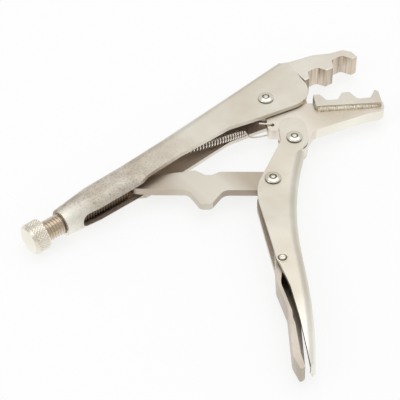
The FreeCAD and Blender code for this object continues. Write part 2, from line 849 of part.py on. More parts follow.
def knurled_knob():
    front = -handle_rear - knob_gap
    body = Part.makeCylinder(knob_radius, knob_length, V(front - knob_length, screw_height, 0), V(1, 0, 0))
    edge = min(body.Edges, key=lambda item: item.CenterOfMass.x)
    return body.makeChamfer(knob_chamfer, [edge])


# Tension spring

def spring_line():
    """Front and rear anchors of the spring in the tool's frame."""
    turn = math.radians(open_bite)
    x = spring_hole_reach * math.cos(turn) + spring_hole_depth * math.sin(turn)
    y = spring_hole_reach * math.sin(turn) - spring_hole_depth * math.cos(turn)
    return V(x, y, 0), tab_place()


def rod(first, last, radius):
    run = last - first
    return Part.makeCylinder(radius, run.Length, first, run)


def spring_coils(turns):
    """Close coils as a plain sleeve along X."""
    length = turns * spring_pitch
    outside = Part.makeCylinder(spring_radius, length, V(0, 0, 0), V(1, 0, 0))
    return outside.cut(Part.makeCylinder(spring_radius - spring_wire, length, V(0, 0, 0), V(1, 0, 0)))


def hook(coil_end, anchor, plate_half):
    """Wire from the coils, over a plate's near face and down through its hole."""
    radius = spring_wire / 2
    run = coil_end - anchor
    gap = run.Length
    run.normalize()
    level = V(0, 0, plate_half + radius + 0.05)
    start = coil_end + run * 0.5 + V(0, 0, spring_radius - radius)
    knee = anchor + run * (gap * 0.4) + level
    over = anchor + level
    down = anchor - V(0, 0, plate_half + 0.8)
    return [rod(start, knee, radius), rod(knee, over, radius), rod(over + level * 0.1, down, radius)]


def tension_spring():
    """Spring that opens the jaws, with a hook at each end."""
    front, rear = spring_line()
    along = front - rear
    turns = int((along.Length - spring_front_gap - spring_rear_gap) / spring_pitch)
    angle = math.degrees(math.atan2(along.y, along.x))
    along.normalize()
    coil_rear = rear + along * spring_rear_gap
    coil_front = coil_rear + along * (turns * spring_pitch)
    coils = placed(spring_coils(turns), coil_rear, angle)
    parts = hook(coil_front, front, shank_thickness / 2) + hook(coil_rear, rear, wall / 2)
    return coils.fuse(parts).removeSplitter()


# Put together

def build():
    handle = upper_handle()
    jaw = upper_jaw()
    shank = lower_jaw()
    block = lower_die_block()
    front_seat = front_half_width
    ear_seat = ear_half_width
    pin = polar(handle_pivot, 0, 0) + placed(Part.Vertex(lever_pin_place), V(0, 0, 0), handle_slope).Point
    return {
        "upper_handle": handle,
        "upper_jaw": jaw,
        "jaw_pivot_rivet": domed_rivet(jaw_pivot, rivet_radius, rivet_head_radius,
                                       rivet_head_height, front_seat),
        "tension_spring": tension_spring(),
        "adjusting_screw": adjusting_screw(),
        "knurled_knob": knurled_knob(),
        "lower_jaw": shank,
        "lower_die_block": block,
        "die_block_welds": die_block_welds(block, shank),
        "handle_pivot_rivet": domed_rivet(handle_pivot, rivet_radius, rivet_head_radius,
                                          rivet_head_height, ear_seat + 0.1),
        "lower_handle": lower_handle(),
        "link_pivot_rivet": domed_rivet(link_pivot, rivet_radius, rivet_head_radius,
                                        rivet_head_height, ear_seat + 0.1),
        "lever_pin": domed_rivet(pin, lever_pin_radius, lever_head_radius,
                                 lever_head_height, belly_half_width),
        "toggle_link": toggle_link(),
        "release_lever": release_lever(),
    }


nodes = build()
box = Part.makeCompound(list(nodes.values())).optimalBoundingBox(False, False)
shift = V(-(box.XMin + box.XMax) / 2, -(box.YMin + box.YMax) / 2, -box.ZMin)
for name, shape in nodes.items():
    moved = shape.copy()
    moved.translate(shift)
    moved.exportStep("parts/" + name + ".step")
    print(name, len(moved.Solids), moved.isValid(), round(moved.Volume, 1))
print("size", round(box.XLength, 3), round(box.YLength, 3), round(box.ZLength, 3))
for name, point in (("jaw_pivot", jaw_pivot), ("handle_pivot", handle_pivot),
                    ("link_pivot", link_pivot), ("link_nose", link_nose)):
    print(name, [round(value, 4) for value in point + shift])
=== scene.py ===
# %% [markdown]
# A pair of locking crimping pliers lies on its side with the jaws open.
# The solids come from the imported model, in metres, and every piece stays where they say.
# This lesson gives the pliers rounded edges, a thread, a knurl, a wound spring, rippled
# welds and a satin nickel finish, and then a plain studio.

# %% Load the frame
import json
import math

import bmesh
import bpy
from mathutils import Matrix, Vector
from mathutils.bvhtree import BVHTree


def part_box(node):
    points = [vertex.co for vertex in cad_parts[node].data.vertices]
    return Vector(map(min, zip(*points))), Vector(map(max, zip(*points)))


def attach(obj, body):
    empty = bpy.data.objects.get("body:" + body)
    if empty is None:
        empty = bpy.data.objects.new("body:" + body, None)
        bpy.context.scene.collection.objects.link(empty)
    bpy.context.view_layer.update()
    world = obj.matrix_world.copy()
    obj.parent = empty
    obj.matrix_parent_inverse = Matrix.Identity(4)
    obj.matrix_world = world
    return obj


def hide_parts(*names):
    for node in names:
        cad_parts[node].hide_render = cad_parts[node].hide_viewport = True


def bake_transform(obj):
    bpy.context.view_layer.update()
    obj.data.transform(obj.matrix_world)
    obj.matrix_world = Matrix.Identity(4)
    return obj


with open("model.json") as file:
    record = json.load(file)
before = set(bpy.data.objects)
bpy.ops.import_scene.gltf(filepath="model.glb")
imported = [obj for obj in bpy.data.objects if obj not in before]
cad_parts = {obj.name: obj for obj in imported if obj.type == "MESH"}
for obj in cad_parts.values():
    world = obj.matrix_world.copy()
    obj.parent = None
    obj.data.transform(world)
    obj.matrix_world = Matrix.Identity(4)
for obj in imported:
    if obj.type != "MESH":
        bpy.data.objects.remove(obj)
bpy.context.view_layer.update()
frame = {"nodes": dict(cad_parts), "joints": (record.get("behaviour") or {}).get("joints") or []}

MM = 0.001

# %% [markdown]
# Four pivots carry the whole mechanism, so most places on the tool are measured from them.
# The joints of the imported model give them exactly, and nothing has to be typed twice.

# %% Pivots and the screw's axis
pivots = {joint["name"]: Vector(joint["pos_m"]) for joint in frame["joints"] if "pos_m" in joint}
jaw_pivot = pivots["jaw_hinge"]
handle_pivot = pivots["handle_hinge"]
link_pivot = pivots["link_hinge"]
lever_pivot = pivots["lever_hinge"]
middle_z = jaw_pivot.z
screw_low, screw_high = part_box("adjusting_screw")
screw_y = (screw_low.y + screw_high.y) / 2
print("jaw pivot", [round(value / MM, 2) for value in jaw_pivot], "mm")

# %% [markdown]
# A stamped or forged edge is never razor sharp, and the thin bright line along it is what
# makes steel look like steel. A Bevel modifier could round the edges, but the solids arrive
# as loose triangles. So each one is copied, its doubles are merged, flat areas become single
# faces again, and only the corners that are really sharp are bevelled.

# %% Finished pieces and merged copies
def finished(name, shape, body, sharp=32, stands_for=()):
    """Object made from a bmesh, riding on a body and standing for some solids."""
    mesh = bpy.data.meshes.new(name)
    shape.to_mesh(mesh)
    shape.free()
    mesh.shade_smooth()
    mesh.set_sharp_from_angle(angle=math.radians(sharp))
    piece = bpy.data.objects.new(name, mesh)
    level = piece.modifiers.new("flat_faces_stay_flat", "WEIGHTED_NORMAL")
    level.keep_sharp = True
    level.weight = 50
    bpy.context.scene.collection.objects.link(piece)
    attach(piece, body)
    if stands_for:
        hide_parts(*stands_for)
    return piece


def merged_copy(node):
    """Closed bmesh of a solid, with its flat areas joined."""
    shape = bmesh.new()
    shape.from_mesh(frame["nodes"][node].data)
    bmesh.ops.remove_doubles(shape, verts=shape.verts, dist=0.002 * MM)
    bmesh.ops.dissolve_limit(shape, angle_limit=math.radians(0.6), verts=shape.verts, edges=shape.edges,
                             use_dissolve_boundaries=False)
    return shape


sample = merged_copy("toggle_link")
triangles = len(frame["nodes"]["toggle_link"].data.polygons)
print("toggle link:", triangles, "triangles become", len(sample.faces), "faces")

# %% Edges to round
def rounded(shape, edges, width, segments=3):
    """Round bevel of a width along some edges."""
    bmesh.ops.bevel(shape, geom=edges, offset=width, offset_type="OFFSET", segments=segments,
                    profile=0.5, affect="EDGES", clamp_overlap=True, material=-1)


def sharp_edges(shape, corner=32):
    """Edges whose two faces meet at more than a corner angle in degrees."""
    return [edge for edge in shape.edges if edge.is_manifold and edge.calc_face_angle(0) > math.radians(corner)]


def plan_corners(shape, corner=16, keep=lambda edge: True):
    """Sharp edges that stand upright, which are the corners of a plate's outline."""
    shape.normal_update()
    return [edge for edge in sharp_edges(shape, corner) if keep(edge)
            and abs(edge.verts[0].co.z - edge.verts[1].co.z) > 0.9 * edge.calc_length()]


print("toggle link:", len(sharp_edges(sample)), "sharp edges,",
      len(plan_corners(sample)), "corners in its outline")
sample.free()

# %% [markdown]
# The inner side of folded sheet lies in shade, and the lower handle and the lever get a darker
# nickel there as painted shade. Painting it by hand would mean picking hundreds of faces. Instead
# a ray leaves each face along its normal: where it soon meets another face of the same piece that
# looks back, the face lies in a hollow, and it goes to a material slot of its own.

# %% Soft-edged copy of a solid
def faces_in_hollows(shape, reach=16 * MM):
    """Faces that look straight at another face of the same piece."""
    tree = BVHTree.FromBMesh(shape)
    found = set()
    for face in shape.faces:
        start = face.calc_center_median() + face.normal * (0.05 * MM)
        _, normal, _, _ = tree.ray_cast(start, face.normal, reach)
        if normal and normal.dot(face.normal) < -0.7:
            found.add(face.index)
    return found


def soft_edged(name, node, body, width, shape=None, marks=(), hollow_slot=0):
    """Copy of a solid whose sharp edges are rounded, with a material slot for each kind of face.

    Each test in marks gives its faces the next slot. The other faces in hollows go to hollow_slot.
    """
    shape = shape or merged_copy(node)
    edges = sharp_edges(shape)
    rounded(shape, edges, width)
    shape.normal_update()
    shape.faces.index_update()
    hollows = faces_in_hollows(shape) if hollow_slot else set()
    for face in shape.faces:
        kinds = [mark(face) for mark in marks]
        if True in kinds:
            face.material_index = kinds.index(True) + 1
        elif face.index in hollows:
            face.material_index = hollow_slot
    print(name, "bevelled", len(edges), "edges, faces", len(shape.faces),
          "marked", sum(face.material_index > 0 for face in shape.faces))
    return finished(name, shape, body, stands_for=[node])


sample = merged_copy("lower_handle")
print("lower handle:", len(faces_in_hollows(sample)), "of", len(sample.faces), "faces lie in hollows")
sample.free()

# %% [markdown]
# The upper handle is one folded sheet. The slot under the screw is punched, and its cut walls
# are smoother than the rolled skin and get a painted highlight. They are found by their place
# beside the screw and by the way they face, and they get a material slot of their own. The rays
# find the channel's inner side.

# %% Upper handle
slot_rear, slot_front = 122 * MM, 62 * MM
slot_wall_near, slot_wall_far = 4.4 * MM, 7.6 * MM


def slot_wall(face):
    """Cut wall of the slot in the tube, between two distances from the screw's axis."""
    middle = face.calc_center_median()
    spoke = Vector((0, middle.y - screw_y, middle.z - middle_z))
    return bool(jaw_pivot.x - slot_rear < middle.x < jaw_pivot.x - slot_front
                and slot_wall_near < spoke.length < slot_wall_far
                and abs(face.normal.dot(spoke.normalized())) < 0.5 and abs(face.normal.x) < 0.5)


# The slot's cut walls go to slot 1, which holds a painted highlight.
upper_handle = soft_edged("upper_handle_sheet", "upper_handle", "upper_side", 0.35 * MM,
                          marks=[slot_wall], hollow_slot=2)

# %% [markdown]
# The toggle link is blanked from plate. A blanking die leaves its corners a little round in
# the outline, so the upright edges take a wide bevel first and all the others a narrow one
# after it. The cut underside beside the lower handle gets painted shade, darker than the flat faces.

# %% Toggle link
shade_reach = 30 * MM


def cut_side(face):
    """Cut underside of the link between its tooth and the lower handle."""
    return (face.normal.y < -0.2 and abs(face.normal.z) < 0.4
            and (face.calc_center_median() - link_pivot).xy.length < shade_reach)


shape = merged_copy("toggle_link")
corners = plan_corners(shape)
rounded(shape, corners, 2.6 * MM, segments=4)
print("link corners rounded", len(corners))
# The cut underside near the lower handle goes to slot 1, which holds painted shade.
toggle_link = soft_edged("toggle_link_plate", "toggle_link", "link_set", 0.4 * MM, shape=shape,
                         marks=[cut_side])

# %% [markdown]
# The jaws are forged. The long edges under the lower jaw are rounded far more than the rest,
# so they take a bevel of their own before the others, and the side between them gets a painted
# highlight. The nests of the upper jaw were ground from below, and their walls, which look down,
# get painted shade. Both kinds of wall go to a second material slot.

# %% Jaws
front_part = jaw_pivot.x + 6 * MM


def ground_wall(face):
    """Wall of a nest, which looks down out of the upper jaw."""
    return face.normal.y < -0.25 and abs(face.normal.z) < 0.5


def under_edge(edge):
    """Long edge between a flat side and the underside of the lower jaw."""
    flat, low = sorted(edge.link_faces, key=lambda face: -abs(face.normal.z))
    middle = (edge.verts[0].co + edge.verts[1].co) / 2
    return (abs(flat.normal.z) > 0.9 and low.normal.y < -0.5 and abs(low.normal.z) < 0.3
            and middle.x > front_part)


def painted_highlight_underside(face):
    """Underside of the lower jaw in front of its pivots."""
    return face.normal.y < -0.3 and abs(face.normal.z) < 0.75 and face.calc_center_median().x > front_part


# The nest walls go to slot 1, which holds painted shade.
upper_jaw = soft_edged("upper_jaw_forging", "upper_jaw", "upper_side", 0.3 * MM,
                       marks=[ground_wall])
shape = merged_copy("lower_jaw")
long_edges = [edge for edge in sharp_edges(shape) if under_edge(edge)]
rounded(shape, long_edges, 1.2 * MM, segments=4)
print("wide bevel on", len(long_edges), "edges")
# The lower jaw's underside goes to slot 1, which holds a painted highlight.
lower_jaw = soft_edged("lower_jaw_forging", "lower_jaw", "lower_jaw_set", 0.5 * MM, shape=shape,
                       marks=[painted_highlight_underside])
die_block = soft_edged("die_block_forging", "lower_die_block", "lower_jaw_set", 0.3 * MM)

# %% [markdown]
# The release lever lies in the lower handle, and both are folded from sheet with a rounded
# free end. The corners near that end take a wide bevel. Each channel's bottom looks out of
# its open side, where no face of the same piece stands opposite, so the rays miss it and a
# test on its place and direction finds it.

# %% Release lever and lower handle
tip_corners = 5 * MM
tip_outside = 7 * MM
fold_wall = 1.8 * MM
open_way = Vector((-0.88, 0.48, 0))


def round_tip(node, width):
    """Merged copy whose corners near the free end are rounded seen from above."""
    shape = merged_copy(node)
    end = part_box(node)[0].y
    corners = plan_corners(shape, 20, lambda edge: max(vert.co.y for vert in edge.verts) < end + tip_corners)
    rounded(shape, corners, width, segments=4)
    print(node, "tip corners rounded", len(corners))
    return shape


def floor_of(node, outward):
    """Test for the bottom of a folded channel, which looks out of its open side."""
    low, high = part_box(node)
    half = (high.z - low.z) / 2 - fold_wall

    def test(face):
        middle = face.calc_center_median()
        return (face.normal.dot(outward) < -0.5 and abs(face.normal.z) < 0.5 and abs(middle.z - middle_z) < half
                and middle.y > low.y + tip_outside)
    return test


# The hollows and channel bottoms of the lever and the lower handle wear painted shade in slot 1.
release_lever = soft_edged("release_lever_sheet", "release_lever", "lever_set", 0.25 * MM,
                           shape=round_tip("release_lever", 1.6 * MM),
                           marks=[floor_of("release_lever", open_way)], hollow_slot=1)
lower_handle = soft_edged("lower_handle_sheet", "lower_handle", "lower_handle_set", 0.35 * MM,
                          shape=round_tip("lower_handle", 1.4 * MM),
                          marks=[floor_of("lower_handle", -open_way)], hollow_slot=1)

# %% [markdown]
# Each rivet's head was pressed into a dome. On the real tool a dark line runs round it, because
# the skirt doesn't quite close on the plate, and the press leaves a dimple in the crown.
# A turned profile can hold all of that: an undercut foot, a short skirt, the dome, the dimple.

# %% Turned shapes
def lathe(profile, origin, axis, steps):
    """Turned shape: a profile of (along, radius) pairs spun about an axis."""
    shape = bmesh.new()
    along = Vector(axis)
    across = along.orthogonal().normalized()
    ring = [shape.verts.new(origin + along * (reach * MM) + across * (radius * MM))
            for reach, radius in profile]
    line = [shape.edges.new(pair) for pair in zip(ring, ring[1:])]
    bmesh.ops.spin(shape, geom=ring + line, cent=origin, axis=along, dvec=(0, 0, 0),
                   angle=math.tau, steps=steps, use_merge=True, use_duplicate=False)
    bmesh.ops.remove_doubles(shape, verts=shape.verts, dist=0.001 * MM)
    bmesh.ops.recalc_face_normals(shape, faces=shape.faces)
    return shape


sample = lathe([(0, 0), (0, 9), (2, 9), (2, 0)], Vector(), (0, 0, 1), 24)
open_edges = [edge for edge in sample.edges if edge.is_boundary]
print("a turned disc has", len(sample.faces), "faces and", len(open_edges), "open edges")
sample.free()

# %% Rivets
main_crown = [(0.0, 3.45), (0.1, 3.8), (0.35, 3.9), (0.5, 3.88), (0.78, 3.7), (0.98, 3.4), (1.12, 3.0),
              (1.24, 2.5), (1.34, 2.05), (1.36, 1.85), (1.22, 1.7), (1.05, 1.55), (1.05, 1.35), (1.25, 1.15),
              (1.42, 0.95), (1.46, 0.6), (1.46, 0.3), (1.46, 0.0)]
pin_crown = [(0, 2.75), (0.22, 2.7), (0.3, 2.5), (0.2, 2.25), (0.08, 2.1), (0.1, 1.75), (0.42, 1.55),
             (0.62, 1.1), (0.7, 0.6), (0.55, 0.35), (0.5, 0)]
main_rise, pin_rise = 1.3, 0.7
main_shank, pin_shank = 3.0, 1.9


def seat_of(node, rise):
    """Height of the plate's face under a head, above the middle plane."""
    low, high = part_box(node)
    return (high.z - low.z) / 2 / MM - rise


def rivet(name, node, body, centre, shank, crown, rise, skirt=0.55, ring=(1.1, 1.8)):
    """Turned rivet with two heads, whose skirt and stamped ring go to the slot for painted shade."""
    seat = seat_of(node, rise)
    top = [(seat, shank)] + [(reach + seat, radius) for reach, radius in crown]
    bottom = [(-reach, radius) for reach, radius in reversed(top)]
    shape = lathe(bottom + top, centre, (0, 0, 1), 48)
    # The skirt and the stamped ring go to slot 1, which holds painted shade.
    for face in shape.faces:
        middle = face.calc_center_median() - centre
        height, radius = abs(middle.z) / MM - seat, middle.xy.length / MM
        hollow = height < skirt or (ring[0] < radius < ring[1] and height < 1.3)
        face.material_index = 1 if hollow else 0
    print(name, "seat", round(seat, 2), "mm, faces", len(shape.faces))
    return finished(name, shape, body, sharp=50, stands_for=[node])


jaw_rivet = rivet("jaw_rivet", "jaw_pivot_rivet", "upper_side", jaw_pivot, main_shank, main_crown, main_rise)
handle_rivet = rivet("handle_rivet", "handle_pivot_rivet", "lower_jaw_set", handle_pivot, main_shank,
                     main_crown, main_rise)
link_rivet = rivet("link_rivet", "link_pivot_rivet", "lower_handle_set", link_pivot, main_shank,
                   main_crown, main_rise)
lever_pin = rivet("lever_pin_head", "lever_pin", "lower_handle_set", lever_pivot, pin_shank, pin_crown,
                  pin_rise, skirt=0.02, ring=(1.5, 2.0))

# %% [markdown]
# The adjusting screw's thread shows between knob and handle, and its crests catch the light
# one by one. Rings stacked along a shaft would look alike from afar, but nothing could be
# screwed into them. So a short tooth profile is spun about the axis while it moves forward by
# one pitch in each turn, and the coils join into one helix.

# %% Screw thread
pitch = 1.5
thread_depth = 0.75
steps_per_turn = 28
crest_radius = (screw_high.y - screw_low.y) / 2 / MM
screw_length = (screw_high.x - screw_low.x) / MM
turns = math.ceil(screw_length / pitch) + 2
screw_start = Vector((screw_low.x - pitch * MM, screw_y, middle_z))
shape = bmesh.new()
tooth = [(0.0, crest_radius - thread_depth), (pitch * 0.1, crest_radius - thread_depth),
         (pitch * 0.45, crest_radius), (pitch * 0.6, crest_radius), (pitch * 0.95, crest_radius - thread_depth),
         (pitch, crest_radius - thread_depth)]
ring = [shape.verts.new(screw_start + Vector((reach * MM, radius * MM, 0))) for reach, radius in tooth]
line = [shape.edges.new(pair) for pair in zip(ring, ring[1:])]
bmesh.ops.spin(shape, geom=ring + line, cent=screw_start, axis=(1, 0, 0),
               dvec=(pitch * MM / steps_per_turn, 0, 0), angle=math.tau * turns,
               steps=steps_per_turn * turns, use_merge=False, use_duplicate=False)
bmesh.ops.remove_doubles(shape, verts=shape.verts, dist=0.01 * MM)
for place, side in ((screw_low.x, -1), (screw_high.x, 1)):
    bmesh.ops.bisect_plane(shape, geom=shape.verts[:] + shape.edges[:] + shape.faces[:],
                           plane_co=(place, 0, 0), plane_no=(side, 0, 0), clear_outer=True)
    rim = [edge for edge in shape.edges if edge.is_boundary and
           all(abs(vert.co.x - place) < 0.001 * MM for vert in edge.verts)]
    bmesh.ops.edgenet_fill(shape, edges=rim)
bmesh.ops.recalc_face_normals(shape, faces=shape.faces)
print("thread turns", turns, "faces", len(shape.faces))
screw = finished("screw_thread", shape, "screw_set", stands_for=["adjusting_screw"])

# %% [markdown]
# The knob's rim is knurled in diamonds, which gives the fingers their hold. A bump texture
# would leave its outline smooth, so the grooves are real. Two families of them cross, one
# winding each way, and every point of the rim sinks by the nearer groove.

# %% Knurled knob
knob_low, knob_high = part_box("knurled_knob")
knob_radius = (knob_high.z - knob_low.z) / 2 / MM
knob_length = (knob_high.x - knob_low.x) / MM
diamonds = 30
knurl_depth = 0.42
knurl_rows = 24
chamfer = 1.1
knurl_from = chamfer + 0.1
knurl_to = knob_length - 0.5
profile = [(0, 0), (0, knob_radius - chamfer - 0.15), (0.12, knob_radius - chamfer),
           (chamfer, knob_radius - 0.1)]
for row in range(knurl_rows + 1):
    profile.append((knurl_from + (knurl_to - knurl_from) * row / knurl_rows, knob_radius))
profile += [(knob_length - 0.15, knob_radius - 0.35), (knob_length, knob_radius - 0.55), (knob_length, 0)]
knob_back = Vector((knob_low.x, screw_y, middle_z))
shape = lathe(profile, knob_back, (1, 0, 0), diamonds * 6)
diamond_size = math.tau * knob_radius / diamonds
print("knob turned, radius", round(knob_radius, 2), "mm, diamonds", round(diamond_size, 2), "mm wide")

# %% Knurl
def tent(value):
    """Rises from 0 to 1 and falls again over each whole step."""
    return 1 - abs(2 * (value % 1) - 1)


for vert in shape.verts:
    reach = (vert.co.x - knob_low.x) / MM
    spoke = Vector((0, vert.co.y - screw_y, vert.co.z - middle_z))
    if spoke.length / MM < knob_radius - 0.02 or not knurl_from - 0.01 < reach < knurl_to + 0.01:
        continue
    around = math.atan2(spoke.z, spoke.y) / math.tau * diamonds
    rise = min(tent(around + reach / diamond_size), tent(around - reach / diamond_size))
    edge = min(1, (reach - knurl_from) / 0.4, (knurl_to - reach) / 0.4)
    sink = knurl_depth * (1 - min(1, 1.35 * rise)) * max(0, edge)
    vert.co -= spoke.normalized() * (sink * MM)
shape.normal_update()
# The back end face goes to slot 1, which holds a paler nickel as painted light.
for face in shape.faces:
    face.material_index = 1 if abs(face.normal.x) > 0.9 and face.calc_center_median().x < knob_low.x + MM else 0
print("knob faces", len(shape.faces))
knob = finished("knob_knurled", shape, "screw_set", sharp=24, stands_for=["knurled_knob"])

# %% [markdown]
# The spring pulls the jaws open. It is an open helix with a hook at each end. A screw
# modifier could wind the coils but not the hooks, so a curve with a round bevel is the simplest
# wound wire: points on a helix, then a few more that lead into each hook.

# %% Spring
bite_turn = math.radians(-31.9)
hook_hole = jaw_pivot + Matrix.Rotation(bite_turn, 3, "Z") @ Vector((0.7 * MM, -17.1 * MM, 0))
tab_hole = jaw_pivot + Vector((-62.0 * MM, 3.4 * MM, 0))
coil_end = jaw_pivot + Vector((-20.6 * MM, -8.0 * MM, 0))
wire = 0.4
rear_radius = 2.5 - wire
front_radius = 1.95 - wire
coil_pitch = 1.5
tip_radius = 1.2
tip_turns = 3
rear_gap = 5.0
run = (coil_end - tab_hole).normalized()
side = Vector((-run.y, run.x, 0))
up = Vector((0, 0, 1))
coil_start = tab_hole + run * (rear_gap * MM)
coil_length = (coil_end - coil_start).length / MM
coil_turns = round(coil_length / coil_pitch)
print("spring", round(coil_length, 1), "mm of coils,", coil_turns, "turns")

# %% Hooks and coils
def rear_hook():
    """Wire through the tab's hole and over its near face to the first coil."""
    level = 1.0 + wire + 0.1
    return [tab_hole + run * (1.8 * MM) - up * ((level + 0.8) * MM),
            tab_hole + run * (0.4 * MM) - up * (level * MM),
            tab_hole - up * (0.6 * MM), tab_hole + up * (0.6 * MM),
            tab_hole + run * (0.7 * MM) + up * ((level + 0.1) * MM),
            tab_hole + run * (3.0 * MM) + up * (1.7 * MM)]


def front_hook():
    """Wire from the last coil behind the tail, up through its hole and back over the near face."""
    level = 2.9 + wire + 0.15
    toward = (coil_end - hook_hole).normalized()
    back_way = Vector((-5.3, 4.6, 0)).normalized()
    return [coil_end + run * (0.9 * MM) - side * (2.0 * MM) - up * (1.2 * MM),
            coil_end + run * (3.4 * MM) - side * (2.6 * MM) - up * (2.9 * MM),
            hook_hole + toward * (3.4 * MM) - side * (0.4 * MM) - up * (level * MM),
            hook_hole + toward * (1.0 * MM) - up * ((level + 0.1) * MM), hook_hole - up * (2.6 * MM),
            hook_hole + up * (2.6 * MM), hook_hole + back_way * (0.8 * MM) + up * ((level + 0.1) * MM),
            hook_hole + back_way * (3.0 * MM) + up * ((level + 0.1) * MM),
            hook_hole + back_way * (6.6 * MM) + up * ((level + 0.3) * MM)]


def wound_wire():
    """Points from the rear hook through all the coils to the front hook."""
    points = rear_hook()
    per_turn = 14
    for step in range(coil_turns * per_turn + 1):
        turn = math.tau * step / per_turn
        left = coil_turns - step / per_turn
        radius = rear_radius + (front_radius - rear_radius) * step / (coil_turns * per_turn)
        radius = tip_radius + (radius - tip_radius) * min(1, left / tip_turns)
        share = step / (coil_turns * per_turn)
        points.append(coil_start + run * (coil_length * (share + 0.22 * share * (1 - share)) * MM)
                      + up * (math.cos(turn) * radius * MM) + side * (math.sin(turn) * radius * MM))
    return points + front_hook()


print("points along the wire", len(wound_wire()))

# %% Wire along the line
curve = bpy.data.curves.new("spring_wire_line", "CURVE")
curve.dimensions = "3D"
curve.bevel_depth = wire * MM
curve.bevel_resolution = 3
spline = curve.splines.new("NURBS")
points = wound_wire()
spline.points.add(len(points) - 1)
for point, place in zip(spline.points, points):
    point.co = (*place, 1)
spline.order_u = 3
spline.use_endpoint_u = True
spline.resolution_u = 2
curve.use_fill_caps = True
wound = bpy.data.objects.new("spring_wire_line", curve)
bpy.context.scene.collection.objects.link(wound)
bpy.context.view_layer.update()
mesh = bpy.data.meshes.new_from_object(wound)
bpy.data.objects.remove(wound)
mesh.name = "tension_spring_wound"
mesh.shade_smooth()
spring = bpy.data.objects.new("tension_spring_wound", mesh)
bpy.context.scene.collection.objects.link(spring)
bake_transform(spring)
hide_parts("tension_spring")
print("spring faces", len(mesh.polygons))

# %% [markdown]
# The die block is welded to the shank along both sides. A hand weld shows a row of ripples,
# and it is never quite even, so each bead is a bar of many rings whose radius swells once for
# every ripple and wanders a little. Most of the bar hides inside the block and the shank.

# %% Weld beads
weld_ripple = 0.9
weld_radius_rear, weld_radius_front = 1.9, 1.3
weld_side = 3.0


def weld_bead(name, start, end):
    """Bar from start to end, with a swell for each ripple."""
    run = end - start
    length = run.length
    ripples = max(2, round(length / (weld_ripple * MM)))
    shape = bmesh.new()
    bmesh.ops.create_cone(shape, cap_ends=True, segments=24, radius1=MM, radius2=MM, depth=length)
    sides = [edge for edge in shape.edges if abs(edge.verts[0].co.z - edge.verts[1].co.z) > length * 0.5]
    bmesh.ops.subdivide_edges(shape, edges=sides, cuts=ripples * 6 - 1, use_grid_fill=False)
    for vert in shape.verts:
        share = vert.co.z / length + 0.5
        radius = weld_radius_rear + (weld_radius_front - weld_radius_rear) * share
        wave = abs(math.sin(math.pi * share * ripples))
        wander = 0.05 * math.sin(share * 17.0 + 1.3) + 0.04 * math.sin(share * 41.0)
        taper = math.sqrt(max(0.0, 1 - (2 * share - 1) ** 20))
        swell = radius * (0.86 + 0.14 * wave + wander) * (0.2 + 0.8 * taper)
        vert.co.x *= swell
        vert.co.y *= swell
    turn = run.to_track_quat("Z", "Y").to_matrix().to_4x4()
    bmesh.ops.transform(shape, matrix=Matrix.Translation((start + end) / 2) @ turn, verts=shape.verts)
    print(name, "ripples", ripples, "length", round(length / MM, 1), "mm")
    return finished(name, shape, "lower_jaw_set", sharp=60, stands_for=["die_block_welds"])


bite = Matrix.Rotation(bite_turn, 3, "Z")
foot_rear = jaw_pivot + bite @ Vector((24.6 * MM, -8.6 * MM, 0))
foot_front = jaw_pivot + bite @ Vector((55.6 * MM, -9.7 * MM, 0))
welds = []
for name, side_z in (("near_fillet_weld", weld_side), ("far_fillet_weld", -weld_side)):
    offset = Vector((0, 0, side_z * MM))
    welds.append(weld_bead(name, foot_rear + offset, foot_front + offset))

# %% [markdown]
# Shader nodes can be joined by hand, but a sum of three values already takes two Math nodes
# and four links. A small class wraps an output socket and overloads the operators, so the
# sum is written as a sum, and its nodes appear behind it.

# %% Sums on sockets
class Socket:
    """Wraps an output socket, so that sums written on it add their math nodes."""

    def __init__(self, tree, output):
        self.tree = tree
        self.output = output

    def math(self, operation, other, swapped=False):
        pair = (other, self) if swapped else (self, other)
        return self.tree.add("ShaderNodeMath", {"operation": operation}, {0: pair[0], 1: pair[1]})

    def __add__(self, other):
        return self.math("ADD", other)

    def __sub__(self, other):
        return self.math("SUBTRACT", other)

    def __mul__(self, other):
        return self.math("MULTIPLY", other)

    __radd__ = __add__
    __rmul__ = __mul__

    def __rsub__(self, other):
        return self.math("SUBTRACT", other, swapped=True)


print("sums on sockets: + - *")

# %% [markdown]
# Every finish on this tool is built from the same few steps: a noise, a stretch of values, a
# colour between two colours, a bump. One class holds a material while it is built, with one
# method that adds any node and a short method for each step.

